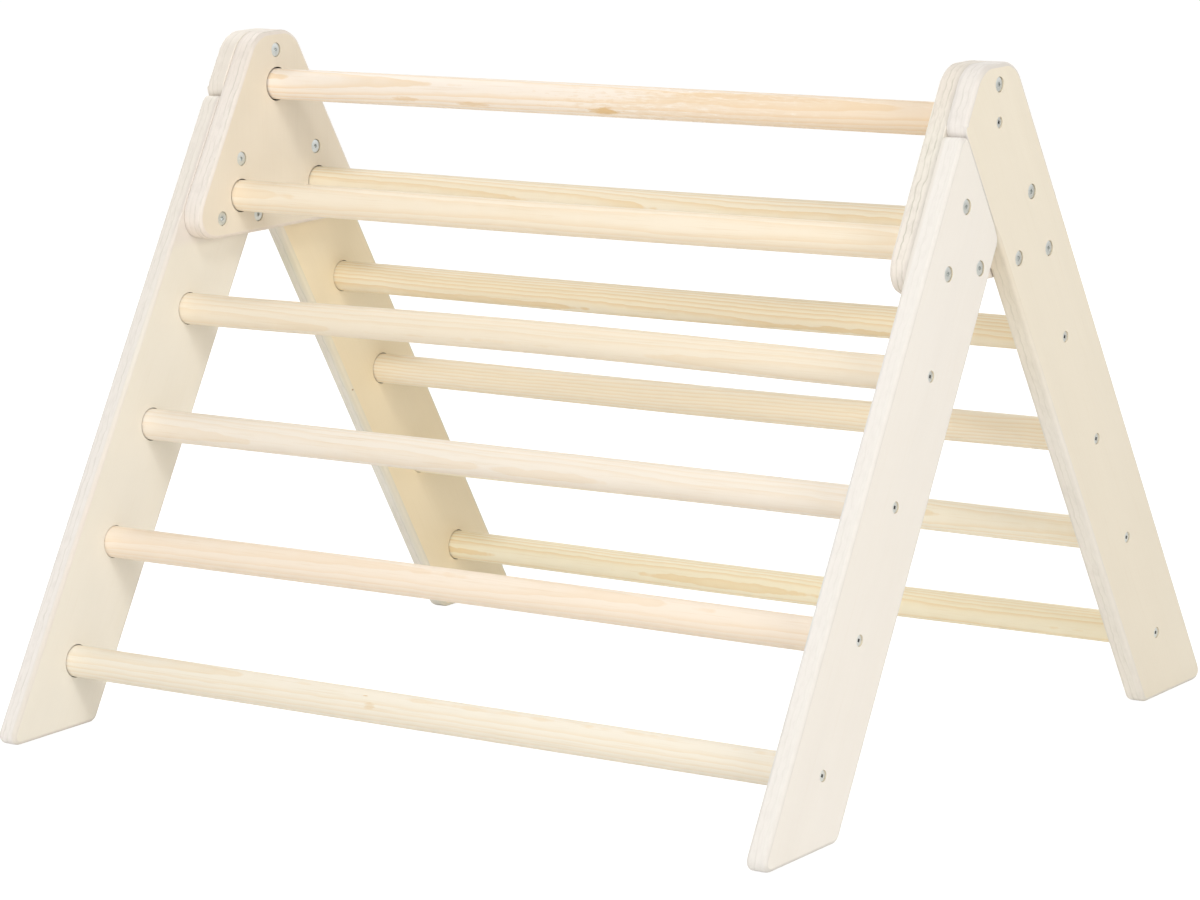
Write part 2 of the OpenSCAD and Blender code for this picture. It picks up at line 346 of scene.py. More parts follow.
def finish_material(name, roughness):
    material = bpy.data.materials.new(name)
    material.use_nodes = True
    tree = material.node_tree
    shader = tree.nodes["Principled BSDF"]
    shader.inputs["Roughness"].default_value = roughness
    coords = wire(tree, "TexCoord").outputs["Object"]
    return material, tree, shader, coords


def grain_bump(tree, shader, height, strength):
    bump = wire(tree, "Bump", {"Strength": strength, "Distance": BUMP_HEIGHT, "Height": height})
    tree.links.new(bump.outputs[0], shader.inputs["Normal"])


def face_veneer(tree, coords, turn, seed, tint, fibre):
    """The smooth, rotary-cut birch of a face: a broad figure, faint clouds and short fibres."""
    figure = noise(tree, stretched(tree, coords, (3, 22, 2.6), turn, seed), 3, 0.5, 0.8)
    cloud = noise(tree, stretched(tree, coords, (4, 5, 3), turn, seed), 2)
    veneer = ramp(tree, figure, [(0.32, shaded(tint, 0.985, 0.985, 0.985)), (0.52, tint),
                                 (0.72, tuple(min(0.97, c * 1.01) for c in tint))])
    veneer = mix(tree, ramp(tree, cloud, [(0.40, 0.0), (0.68, 0.5)]), veneer,
                 shaded(tint, 0.985, 0.97, 0.94))
    return mix(tree, ramp(tree, fibre, [(0.30, 0.16), (0.46, 0.0)]), veneer,
               shaded(tint, 0.90, 0.86, 0.80))


def layered_rim(tree, coords, turn, seed, across, rise, rim, layers, lip, lip_reach):
    """The cut layers of a rim: a mottled tone with wavering lines of end grain and glue, and
    slightly darker where the edges are eased, a painted shade that tones down the highlight
    they catch."""
    mottle = noise(tree, stretched(tree, coords, (240, 110, 90), turn, seed + 8), 3, 0.6)
    clear = ramp(tree, across, layers)
    edge = mix(tree, 1.0, ramp(tree, rise, rim), ramp(tree, mottle, [(0.36, 0.97), (0.62, 1.0)]),
               "MULTIPLY")
    blotch = maths(tree, "MULTIPLY", clear, ramp(tree, mottle, [(0.36, 0.55), (0.50, 0.0)]))
    edge = mix(tree, blotch, edge, (0.88, 0.87, 0.86), "MULTIPLY")
    waver = noise(tree, stretched(tree, coords, (6, 60, 60), turn, seed + 5), 2, 0.6)
    waver = maths(tree, "MULTIPLY_ADD", waver, 2.4, -1.1)
    plies = maths(tree, "PINGPONG", maths(tree, "MULTIPLY_ADD", across, 7.0, waver), 1.0)
    dash = noise(tree, stretched(tree, coords, (200, 30, 30), turn, seed + 3), 3, 0.65)
    dark = maths(tree, "MULTIPLY", ramp(tree, plies, [(0.66, 0.0), (0.90, 1.0)]),
                 ramp(tree, dash, [(0.40, 0.25), (0.60, 1.0)]))
    edge = mix(tree, maths(tree, "MULTIPLY", dark, clear), edge, (0.70, 0.71, 0.66), "MULTIPLY")
    # Painted shade on the eased edges: the lip tones, or the eased tone, darken them to tone down the
    # highlight they catch.
    inner_ease = ramp(tree, across, [(0.0, 0.7), (0.02, 1.0), (lip_reach * 0.45, 1.0), (lip_reach, 0.0)])
    if lip:
        edge = mix(tree, inner_ease, edge, ramp(tree, rise, lip))
    else:
        edge = mix(tree, inner_ease, edge, EASED_SHADE, "MULTIPLY")
    outer_ease = ramp(tree, across, [(0.78, 0.0), (0.90, 1.0), (0.98, 1.0), (1.0, 0.7)])
    return mix(tree, outer_ease, edge, EASED_SHADE, "MULTIPLY")


def birch(name, turn, face, seed, tint, rim, layers, lip=None, lip_reach=0.22, outer_tint=None,
          knots=()):
    """Birch plywood of a board whose inner face is at a distance from the middle, with its
    grain turned about X. tint is the face veneer's tone, rim lists the rim's tones by height,
    and layers says how clear the layers' lines are across the thickness. lip lists the tones
    of the inner eased edge by height, which fade out over a share of the thickness; they are
    darker than the rim, a painted shade that tones down the eased edge's highlight. outer_tint
    is the outer face's tone where the inner one's holds painted shade. knots lists the dark
    pin knots."""
    material, tree, shader, coords = finish_material(name, roughness=0.55)
    x, _, z = wire(tree, "SeparateXYZ", {0: coords}).outputs
    rise = maths(tree, "DIVIDE", z, TOP)
    across = maths(tree, "SUBTRACT", maths(tree, "ABSOLUTE", x), face)
    across = maths(tree, "DIVIDE", across, BOARD)
    fibre = noise(tree, stretched(tree, coords, (60, 600, 14), turn, seed), 3, 0.6)
    veneer = face_veneer(tree, coords, turn, seed, tint, fibre)
    if outer_tint:
        change = tuple(outer / inner for outer, inner in zip(outer_tint, tint))
        veneer = mix(tree, ramp(tree, across, [(0.45, 0.0), (0.55, 1.0)]), veneer, change, "MULTIPLY")
    edge = layered_rim(tree, coords, turn, seed, across, rise, rim, layers, lip, lip_reach)
    # A gusset's face pressed on the legs takes the rim's greyer tones instead of the veneer, as painted
    # shade where it shows in the gap at the joint.
    on_rim = ramp(tree, across, [(0.0, 0.0), (0.002, 1.0), (0.998, 1.0), (1.0, face == INNER)])
    if face == JOINT:
        beside_gusset = maths(tree, "MULTIPLY", ramp(tree, rise, [(0.685, 0.0), (0.70, 1.0)]),
                              ramp(tree, across, [(0.05, 1.0), (0.06, 0.0)]))
        on_rim = maths(tree, "MAXIMUM", on_rim, beside_gusset)
    base = mix(tree, on_rim, veneer, edge)
    for knot in knots:
        off = vector_maths(tree, "DISTANCE", coords, knot, "Value")
        near = ramp(tree, maths(tree, "MULTIPLY", off, 250.0), [(0.18, 1.0), (0.40, 0.0)])
        base = mix(tree, near, base, shaded(tint, 0.45, 0.33, 0.22))
    tree.links.new(base, shader.inputs["Base Color"])
    grain_bump(tree, shader, fibre, 0.2)
    return material


def drilled(name, mouth, colour, depth):
    """The rough wall of a drilled hole, ringed by the drill and darker with the depth from the
    face at mouth, a painted shade for the dark inside the hole."""
    material, tree, shader, coords = finish_material(name, roughness=0.9)
    x = maths(tree, "ABSOLUTE", wire(tree, "SeparateXYZ", {0: coords}).outputs[0])
    inside = maths(tree, "ABSOLUTE", maths(tree, "SUBTRACT", x, mouth))
    base = ramp(tree, maths(tree, "DIVIDE", inside, depth),
                [(0.0, colour), (1.0, shaded(colour, 0.12, 0.12, 0.12))])
    rings = noise(tree, stretched(tree, coords, (1500, 40, 40)), 2, 0.6)
    base = mix(tree, ramp(tree, rings, [(0.35, 0.3), (0.60, 0.0)]), base, shaded(colour, 0.1, 0.1, 0.1))
    tree.links.new(base, shader.inputs["Base Color"])
    grain_bump(tree, shader, rings, 0.4)
    return material


def growth_rings(tree, coords, pith, tilt, spacing):
    """The late wood's bands: rings round a pith line that runs beside a rung, a little tilted
    and bent, so that stripes run along the rung."""
    swirl = noise(tree, stretched(tree, coords, (2.2, 9, 9)), 2, output="Color")
    swirl = vector_maths(tree, "SUBTRACT", swirl, (0.5, 0.5, 0.5))
    swirl = vector_maths(tree, "MULTIPLY", swirl, (0.0, 0.016, 0.016))
    bent = vector_maths(tree, "ADD", coords, swirl)
    placed = wire(tree, "Mapping", {"Vector": bent, "Location": (0, *pith), "Rotation": (0, *tilt)})
    rings = wire(tree, "TexWave", {"Vector": placed.outputs[0], "Scale": WAVE_SPACING / spacing,
                                   "Distortion": 1.2, "Detail": 2.0, "Detail Scale": 0.6},
                 wave_type="RINGS", rings_direction="X", wave_profile="SAW").outputs["Fac"]
    return ramp(tree, rings, [(0.0, 0.0), (0.45, 0.12), (0.82, 0.85), (0.94, 1.0), (1.0, 0.1)])


def resin_spot(tree, coords, ragged, point, x, angle, length, width, share):
    """How much of a resin spot shows: a ragged patch at a place along a rung and round it."""
    spot = (x, point[0] - RUNG_RADIUS * cos(radians(angle)), point[1] + RUNG_RADIUS * sin(radians(angle)))
    off = vector_maths(tree, "SUBTRACT", coords, spot)
    off = vector_maths(tree, "MULTIPLY", off, (1 / length, 1 / width, 1 / width))
    off = vector_maths(tree, "LENGTH", off, output="Value")
    near = ramp(tree, maths(tree, "ADD", off, ragged), [(0.75, share), (1.0, 0.5 * share), (1.45, 0.0)])
    near.node.color_ramp.interpolation = "EASE"
    return near


def pine(name, point, seed, pith, tilt, spacing, pale, strength, spots):
    """Pine dowel of a pale tone, with stripes of a strength and with resin spots."""
    material, tree, shader, coords = finish_material(name, roughness=0.5)
    late = shaded(pale, 0.91, 0.77, 0.56)
    centred = wire(tree, "Mapping", {"Vector": coords, "Location": (seed, -point[0], -point[1])}).outputs[0]
    band = growth_rings(tree, centred, pith, tilt, spacing)
    fibre = noise(tree, stretched(tree, centred, (16, 800, 800)), 3, 0.6)
    broad = noise(tree, stretched(tree, centred, (2.5, 60, 60)), 3)
    base = mix(tree, maths(tree, "MULTIPLY", band, strength), pale, late)
    base = mix(tree, ramp(tree, broad, [(0.40, 0.0), (0.75, 0.5 * strength)]), base,
               tuple(0.6 * early + 0.4 * dark for early, dark in zip(pale, late)))
    base = mix(tree, ramp(tree, fibre, [(0.28, 0.30), (0.45, 0.0)]), base, shaded(late, 0.9, 0.9, 0.9))
    ragged = noise(tree, stretched(tree, centred, (90, 500, 500)), 3, 0.6)
    for spot in spots:
        base = mix(tree, resin_spot(tree, coords, ragged, point, *spot), base,
                   shaded(late, 0.90, 0.82, 0.66))
    tree.links.new(base, shader.inputs["Base Color"])
    grain_bump(tree, shader, fibre, 0.3)
    return material


def zinc(name, share=1.0):
    """Bright zinc plate, or with a smaller share of its brightness a darker copy that paints the shade
    inside a recess.
    """
    material, tree, shader, coords = finish_material(name, roughness=0.34)
    shader.inputs["Metallic"].default_value = 1.0
    grain = noise(tree, stretched(tree, coords, (900, 900, 900)), 3, 0.6)
    tree.links.new(ramp(tree, grain, [(0.3, shaded((0.69, 0.725, 0.72), share, share, share)),
                                      (0.7, shaded((0.83, 0.86, 0.85), share, share, share))]),
                   shader.inputs["Base Color"])
    rough = wire(tree, "MapRange", {"Value": grain, "To Min": 0.26, "To Max": 0.46})
    tree.links.new(rough.outputs[0], shader.inputs["Roughness"])
    return material


# ---- holes in the boards ----

# The walls darken with depth over the given distance as painted shade, and the socket walls' darker tone is
# painted shade in the narrow gap round a rung.
SOCKET_TONE, SOCKET_SHADE = (0.50, 0.37, 0.24), 0.0018
HOLE_TONE, HOLE_SHADE = (0.80, 0.72, 0.58), 0.006
SOCKET_WALLS = {INNER: drilled("gusset_socket_wall", INNER, SOCKET_TONE, SOCKET_SHADE),
                JOINT: drilled("leg_socket_wall", JOINT, SOCKET_TONE, SOCKET_SHADE)}
HOLE_WALLS = {INNER: drilled("gusset_hole_wall", INNER, HOLE_TONE, HOLE_SHADE),
              JOINT: drilled("leg_hole_wall", OUTER, HOLE_TONE, HOLE_SHADE)}


def bolt_cutter(bm, point, side):
    """A bolt's hole through gusset plate and leg, with a seat for a head at each end."""
    inner_seat = INNER + HEAD_SINK + HEAD_THICKNESS
    outer_seat = OUTER - HEAD_SINK - HEAD_THICKNESS
    flare = 0.0001
    lathe(bm, point, side, [
        (INNER - BEYOND, 0), (INNER - BEYOND, HEAD_HOLE + 2 * flare), (INNER, HEAD_HOLE + flare),
        (INNER + 2 * flare, HEAD_HOLE), (inner_seat, HEAD_HOLE), (inner_seat, SLEEVE_HOLE),
        (outer_seat, SLEEVE_HOLE), (outer_seat, HEAD_HOLE), (OUTER - 2 * flare, HEAD_HOLE),
        (OUTER, HEAD_HOLE + flare), (OUTER + BEYOND, HEAD_HOLE + 2 * flare), (OUTER + BEYOND, 0)])


def screw_cutter(bm, point, side, start, face):
    """A screw's hole from a start inside a board to its face, where it is countersunk."""
    lathe(bm, point, side, [
        (start - BEYOND, 0), (start - BEYOND, SCREW_HOLE), (face - 0.0033, SCREW_HOLE),
        (face - SCREW_SINK, COUNTERSINK), (face, COUNTERSINK + 0.0002),
        (face + BEYOND, COUNTERSINK + 0.0003), (face + BEYOND, 0)])


def socket_cutter(bm, point, side, face, radius):
    lathe(bm, point, side, [(face - BEYOND, 0), (face - BEYOND, radius),
                            (face + SOCKET_DEPTH, radius), (face + SOCKET_DEPTH, 0)], steps=64)


def finish_board(made, sockets, holes, screw_holes, face):
    """Cuts the sockets and holes of a board with its inner face at a distance from the middle,
    and evens the shading of its eased edges."""
    cut(made, sockets, SOCKET_WALLS[face])
    cut(made, holes, HOLE_WALLS[face])
    cut(made, screw_holes, HOLE_WALLS[face])
    made.modifiers.new("even shading", "WEIGHTED_NORMAL").keep_sharp = True


# ---- side frames ----

def butt_easing(spot):
    """How far an edge is eased at the butt joint between the front leg's end and the back leg."""
    way = BUTT_HIGH - BUTT_LOW
    share = (spot - BUTT_LOW).dot(way) / way.length_squared
    off = abs((spot - BUTT_LOW).dot(Vector((-way.y, way.x)).normalized()))
    if off > BUTT_BAND or share > 1.02:
        return 1.0
    before = (BUTT_EASE_TO - share) / (BUTT_EASE_TO - BUTT_EASE_FROM)
    return max(BUTT_EASE, min(1.0, BUTT_EASE + (1 - BUTT_EASE) * before))


def gusset_easing(spot, x):
    """Only lightly eased where it is pressed against the legs."""
    return PRESSED_EASE if x == JOINT else 1.0


def back_leg_easing(spot, x):
    """As the butt joint asks, and lightly round the head, on the gusset plate's side."""
    on_head = spot.x < PRESSED_HEAD and spot.y > BUTT_HIGH.y + 0.002
    return PRESSED_EASE if on_head and x == JOINT else butt_easing(spot)


def front_leg_easing(spot, x):
    """As the butt joint asks, and lightly where the slope meets the gusset plate."""
    out = (spot - on_leg(FRONT, 0, 0)).dot(Vector((-cos(LEAN), sin(LEAN))))
    beside = max(0.0, min(1.0, (spot.y - GUSSET_BOTTOM) / PRESSED_BLEND))
    if x == JOINT and out > HALF_LEG - PRESSED_BAND:
        return 1 - (1 - PRESSED_EASE) * beside
    return butt_easing(spot)


def along_butt(shares, low_gap=0.0, tip_gap=0.0):
    """Points along the butt joint, from its lower end at 0 to its tip at 1, moved away from
    the back leg by a gap."""
    out = Vector((-cos(LEAN), -sin(LEAN)))
    return [BUTT_LOW.lerp(BUTT_HIGH, share) + out * (low_gap + (tip_gap - low_gap) * share)
            for share in shares]


def gusset(side, material):
    corners = [at_height(FRONT, GUSSET_REACH, GUSSET_BOTTOM), at_height(BACK, GUSSET_REACH, GUSSET_BOTTOM),
               at_height(BACK, GUSSET_REACH, TOP), at_height(FRONT, GUSSET_REACH, TOP)]
    radii = [GUSSET_CORNER, GUSSET_CORNER, HEAD_CORNER, HEAD_CORNER]
    made = piece("gusset_" + SIDE_NAMES[side], board(corners, radii, side, INNER, JOINT, gusset_easing),
                 SIDE_NAMES[side] + "_gusset_plate", material)
    sockets, holes, screw_holes = bmesh.new(), bmesh.new(), bmesh.new()
    for point in ALL_BOLTS:
        bolt_cutter(holes, point, side)
    for slope in (FRONT, BACK):
        socket_cutter(sockets, on_leg(slope, UPPER_STEP, 0), side, INNER, UPPER_SOCKET)
        screw_cutter(screw_holes, on_leg(slope, UPPER_STEP, 0), side, GUSSET_HOLE_START, JOINT)
    socket_cutter(sockets, on_leg(FRONT, 0, 0), side, INNER, TOP_SOCKET)
    lathe(screw_holes, on_leg(FRONT, 0, 0), side, [
        (GUSSET_HOLE_START, 0), (GUSSET_HOLE_START, SCREW_HOLE),
        (JOINT + BEYOND, SCREW_HOLE), (JOINT + BEYOND, 0)])
    finish_board(made, sockets, holes, screw_holes, INNER)


def leg(name, corners, radii, side, easing, slope, bolt_points, screwed_steps, material):
    """A leg with its holes for bolts, blind sockets for the rungs and holes for their screws."""
    made = piece(name + "_" + SIDE_NAMES[side], board(corners, radii, side, JOINT, OUTER, easing),
                 SIDE_NAMES[side] + "_" + name, material)
    sockets, holes, screw_holes = bmesh.new(), bmesh.new(), bmesh.new()
    for point in bolt_points:
        bolt_cutter(holes, point, side)
    for step, radius in zip(LEG_STEPS, LEG_SOCKETS):
        socket_cutter(sockets, on_leg(slope, step, 0), side, JOINT, radius)
    for step in screwed_steps:
        screw_cutter(screw_holes, on_leg(slope, step, 0), side, JOINT, OUTER)
    finish_board(made, sockets, holes, screw_holes, JOINT)


def back_leg(side, material):
    """The longer leg. Its top end is a head that carries the front slope on upwards."""
    splits = along_butt((0,) + BUTT_SPLITS)
    corners = [at_height(BACK, -HALF_LEG, 0), at_height(BACK, HALF_LEG, 0),
               at_height(BACK, HALF_LEG, TOP), at_height(FRONT, HALF_LEG, TOP),
               BUTT_HIGH] + splits[::-1]
    radii = [FOOT_CORNER, FOOT_CORNER, HEAD_CORNER, HEAD_CORNER, NUB_CORNER] + [0] * len(splits)
    leg("back_leg", corners, radii, side, back_leg_easing, BACK, [TOP_BOLT] + leg_bolts(BACK),
        [0] + LEG_STEPS, material)


def front_leg(side, material):
    """The shorter leg. Its end butts under the back leg's head."""
    low, *splits, tip = along_butt((0,) + BUTT_SPLITS + (1,), BUTT_GAP_LOW, BUTT_GAP_TIP)
    blend = [at_height(FRONT, HALF_LEG, GUSSET_BOTTOM + PRESSED_BLEND),
             at_height(FRONT, HALF_LEG, GUSSET_BOTTOM)]
    corners = [at_height(FRONT, HALF_LEG, 0), at_height(FRONT, -HALF_LEG, 0),
               low] + splits + [tip] + blend
    radii = ([FOOT_CORNER, FOOT_CORNER, CROTCH_CORNER] + [0] * len(splits) + [TIP_CORNER]
             + [0] * len(blend))
    leg("front_leg", corners, radii, side, front_leg_easing, FRONT, leg_bolts(FRONT), LEG_STEPS,
        material)


# How clear the layers' lines are across the thickness, from the inner face at 0 to the outer one.
CLEAR_LAYERS = [(0.0, 0.0), (0.04, 0.0), (0.14, 0.85), (0.80, 0.85), (0.94, 0.35), (0.99, 0.0)]
INNER_LAYERS = [(0.0, 0.0), (0.05, 0.1), (0.16, 0.7), (0.50, 0.6), (0.75, 0.15), (0.95, 0.0)]
FAINT_LAYERS = [(0.0, 0.0), (0.05, 0.0), (0.30, 0.25), (0.50, 0.50), (0.75, 0.20), (0.95, 0.0)]
SMOOTH_LAYERS = [(0.0, 0.0), (0.05, 0.0), (0.30, 0.10), (0.50, 0.22), (0.75, 0.10), (0.95, 0.0)]

# Each board is from its own sheet, so it has its own tones; some tones also hold painted shade, as noted at
# the board. Heights are shares of the whole.
BOARD_LOOKS = {
    "gusset_left": {
        "seed": 0.3, "tint": (0.83, 0.76, 0.65), "layers": INNER_LAYERS,
        "rim": [(0.70, (0.89, 0.81, 0.74)), (0.76, (0.92, 0.87, 0.83)), (0.88, (0.92, 0.87, 0.83)),
                (0.95, (0.90, 0.84, 0.79)), (0.99, (0.88, 0.82, 0.77))]},
    "gusset_right": {
        "seed": 2.3, "tint": (0.84, 0.78, 0.67), "layers": CLEAR_LAYERS,
        "rim": [(0.73, (0.86, 0.81, 0.76)), (0.80, (0.82, 0.78, 0.73)), (0.90, (0.82, 0.79, 0.73)),
                (0.96, (0.80, 0.75, 0.69))],
        "lip": [(0.77, (0.83, 0.78, 0.74)), (0.84, (0.77, 0.74, 0.69)), (0.93, (0.78, 0.74, 0.67)),
                (0.98, (0.80, 0.75, 0.71))]},
    # The left back leg's inner tint is a darker, warmer copy of its own tone, outer_tint: painted shade
    # with the warm light bounced from the rungs. Its rim and lip tones are also darker and greyer, painted
    # shade on the edge that faces forward and down.
    "back_leg_left": {
        "seed": 3.1, "tint": (0.91, 0.80, 0.59), "layers": FAINT_LAYERS,
        "rim": [(0.15, (0.80, 0.77, 0.70)), (0.22, (0.84, 0.82, 0.76)), (0.42, (0.85, 0.82, 0.74)),
                (0.55, (0.80, 0.75, 0.65)), (0.63, (0.75, 0.72, 0.60)), (0.72, (0.87, 0.82, 0.76))],
        "lip": [(0.18, (0.78, 0.74, 0.63)), (0.40, (0.82, 0.76, 0.61)), (0.56, (0.83, 0.77, 0.62)),
                (0.63, (0.79, 0.73, 0.56)), (0.72, (0.84, 0.79, 0.73))],
        "lip_reach": 0.45, "outer_tint": (0.88, 0.83, 0.73), "knots": [(-0.400, 0.1312, 0.2547)]},
    "back_leg_right": {
        "seed": 5.1, "tint": (0.88, 0.83, 0.73), "layers": FAINT_LAYERS,
        "rim": [(0.45, (0.88, 0.85, 0.80)), (0.62, (0.88, 0.83, 0.73)), (0.74, (0.87, 0.80, 0.67)),
                (0.82, (0.82, 0.79, 0.77))]},
    "front_leg_left": {
        "seed": 6.7, "tint": (0.85, 0.82, 0.75), "layers": FAINT_LAYERS,
        "rim": [(0.30, (0.90, 0.87, 0.85)), (0.55, (0.88, 0.85, 0.82)), (0.75, (0.88, 0.84, 0.79))],
        "lip": [(0.08, (0.75, 0.71, 0.66)), (0.32, (0.80, 0.74, 0.69)), (0.55, (0.80, 0.77, 0.71)),
                (0.72, (0.77, 0.72, 0.68))]},
    "front_leg_right": {
        "seed": 8.7, "tint": (0.90, 0.88, 0.86), "layers": SMOOTH_LAYERS,
        "rim": [(0.0, (0.84, 0.82, 0.80))],
        "lip": [(0.15, (0.79, 0.77, 0.75)), (0.30, (0.80, 0.80, 0.80)), (0.65, (0.81, 0.79, 0.79)),
                (0.72, (0.78, 0.75, 0.71))],
        "knots": [(0.4185, -0.1522, 0.4264)]},
}

for kind, make, turn, face in (("gusset", gusset, 0.0, INNER), ("back_leg", back_leg, -LEAN, JOINT),
                               ("front_leg", front_leg, LEAN, JOINT)):
    for side in (LEFT, RIGHT):
        name = kind + "_" + SIDE_NAMES[side]
        make(side, birch("birch_" + name, turn, face, **BOARD_LOOKS[name]))


# ---- rungs ----

# For each rung: how far it bows upwards, the tone of its pale wood, and how clear its stripes are.
RUNG_LOOKS = {
    "top_rung": (0.0005, (0.95, 0.87, 0.79), 0.7),
    "upper_front_rung": (-0.0009, (0.93, 0.84, 0.70), 0.4),
    "upper_back_rung": (-0.0015, (0.90, 0.84, 0.70), 0.8),
    "front_rung_1": (0.0028, (0.89, 0.81, 0.68), 0.35),
    "front_rung_2": (0.0004, (0.90, 0.84, 0.76), 0.3),
    "front_rung_3": (0.0009, (0.93, 0.83, 0.72), 0.35),
    "front_rung_4": (0.0, (0.90, 0.85, 0.75), 0.4),
    "back_rung_1": (-0.0012, (0.88, 0.81, 0.65), 0.9),
    "back_rung_2": (-0.0012, (0.91, 0.84, 0.70), 0.6),
    "back_rung_3": (0.0012, (0.97, 0.92, 0.79), 0.5),
    "back_rung_4": (-0.0012, (0.96, 0.90, 0.72), 0.8),
}

# Resin spots and a small knot: x, the angle up from the front, length, width and strength.
RUNG_SPOTS = {
    "top_rung": [(0.014, -32, 0.034, 0.0085, 1.0), (-0.215, -25, 0.035, 0.0050, 0.5),
                 (-0.135, -32, 0.040, 0.0045, 0.6), (0.420, 0, 0.800, 0.0600, 0.36),
                 (0.160, 50, 0.160, 0.0060, 0.4)],
    "front_rung_4": [(-0.052, 52, 0.006, 0.0016, 0.9), (-0.044, 17, 0.012, 0.0060, 0.4)],
}
FRONT_RINGS, BACK_RINGS = 0.005, 0.0035
BOW_REACH = INNER - PILOT_REACH


def rung(name, point, mouth, bow, material):
    """A dowel between sockets whose mouths are at a distance from the middle, with eased ends
    and a pilot hole in each. It bows a little between the screws, as turned pine does."""
    bm = bmesh.new()
    end = mouth + SOCKET_DEPTH
    straight = end - RUNG_CHAMFER
    pilot = mouth - PILOT_REACH
    tail = [(straight, RUNG_RADIUS), (end, RUNG_RADIUS - RUNG_CHAMFER), (end, PILOT_HOLE),
            (pilot, PILOT_HOLE), (pilot, 0)]
    middle = [(straight * (2 * i / RUNG_SPANS - 1), RUNG_RADIUS) for i in range(1, RUNG_SPANS)]
    lathe(bm, point, RIGHT, [(-x, radius) for x, radius in tail[::-1]] + middle + tail, steps=64)
    for v in bm.verts:
        v.co.z += bow * max(0.0, 1 - (v.co.x / BOW_REACH) ** 2) ** 1.5
    piece(name + "_dowel", bm, name, material)


RUNGS = [("top_rung", on_leg(FRONT, 0, 0), INNER)]
for slope in (FRONT, BACK):
    word = SLOPE_NAMES[slope]
    RUNGS.append(("upper_%s_rung" % word, on_leg(slope, UPPER_STEP, 0), INNER))
    for number, step in enumerate(LEG_STEPS):
        RUNGS.append(("%s_rung_%d" % (word, number + 1), on_leg(slope, step, 0), JOINT))

# Each dowel is cut from a different place of the tree, so its rings run differently.
for index, (name, point, mouth) in enumerate(RUNGS):
    bow, pale, strength = RUNG_LOOKS[name]
    pith = (0.05 + 0.013 * (index % 4), -0.035 + 0.02 * (index % 3))
    tilt = (0.010 - 0.006 * (index % 4), 0.012 - 0.007 * (index % 3))
    spacing = BACK_RINGS if "back" in name else FRONT_RINGS
    material = pine("pine_" + name, point, 3.7 * index, pith, tilt, spacing, pale, strength,
                    RUNG_SPOTS.get(name, ()))
    rung(name, point, mouth, bow, material)


# ---- fasteners ----

ZINC = zinc("zinc_plate")
# Darker copies of the plate line the key and cross recesses: painted shade inside them.
RECESS_SHADE = zinc("zinc_plate_recess_shade", 0.85)
NARROW_RECESS_SHADE = zinc("zinc_plate_narrow_recess_shade", 0.25)

# Shapes of (depth, radius), from the middle of the head's top down to the far end.
HEAD_SHAPE = [(0, 0), (0, 0.0055), (0.0002, 0.0063), (0.0008, BOLT_HEAD),
              (HEAD_THICKNESS - 0.0003, BOLT_HEAD), (HEAD_THICKNESS, BOLT_HEAD - 0.0003)]
BOLT_SHAPE = HEAD_SHAPE + [
    (HEAD_THICKNESS, BOLT_SHANK), (BOLT_LENGTH - 0.0006, BOLT_SHANK),
    (BOLT_LENGTH, BOLT_SHANK - 0.0006), (BOLT_LENGTH, 0)]
NUT_SHAPE = HEAD_SHAPE + [
    (HEAD_THICKNESS, SLEEVE), (SLEEVE_LENGTH - 0.0005, SLEEVE), (SLEEVE_LENGTH, SLEEVE - 0.0004),
    (SLEEVE_LENGTH, SLEEVE_BORE), (HEAD_THICKNESS + 0.0005, SLEEVE_BORE), (HEAD_THICKNESS + 0.0005, 0)]


def key_cutter(bm, point, x):
    """A hexagonal cutter along X with its middle at x."""
    radius = KEY_WIDTH / cos(pi / 6) / 2
    made = bmesh.ops.create_cone(bm, cap_ends=True, segments=6, radius1=radius, radius2=radius,
                                 depth=KEY_DEPTH + KEY_BEYOND)
    bmesh.ops.rotate(bm, cent=(0, 0, 0), matrix=Matrix.Rotation(pi / 2, 3, "Y"), verts=made["verts"])
    bmesh.ops.translate(bm, vec=(x, point[0], point[1]), verts=made["verts"])


def connectors(name, side, face, inward, shape):
    """The bolts or the sleeve nuts of a side frame, sunk in the face at a distance from the
    middle. inward is the way into the wood: 1 away from the middle, -1 towards it."""
    bm, holes = bmesh.new(), bmesh.new()
    top = face + inward * HEAD_SINK
    for point in ALL_BOLTS:
        lathe(bm, point, side, [(top + inward * depth, radius) for depth, radius in shape])
        key_cutter(holes, point, side * (top + inward * (KEY_DEPTH - KEY_BEYOND) / 2))
    made = piece(name + "_" + SIDE_NAMES[side], bm, SIDE_NAMES[side] + "_" + name,
                 ZINC)
    cut(made, holes, RECESS_SHADE)


def cross_cutter(bm, point, side, top, turn):
    """One bar of the cross-shaped recess in a screw's head, narrower towards its floor."""
    made = bmesh.ops.create_cube(bm, size=1)
    bmesh.ops.scale(bm, vec=CROSS_BAR, verts=made["verts"])
    for v in made["verts"]:
        if v.co.x < 0:
            v.co.y *= CROSS_TAPER
    bmesh.ops.rotate(bm, cent=(0, 0, 0), matrix=Matrix.Rotation(turn, 3, "X"), verts=made["verts"])
    bmesh.ops.translate(bm, vec=(top, 0, 0), verts=made["verts"])
    bmesh.ops.scale(bm, vec=(side, 1, 1), verts=made["verts"])
    bmesh.ops.translate(bm, vec=(0, point[0], point[1]), verts=made["verts"])


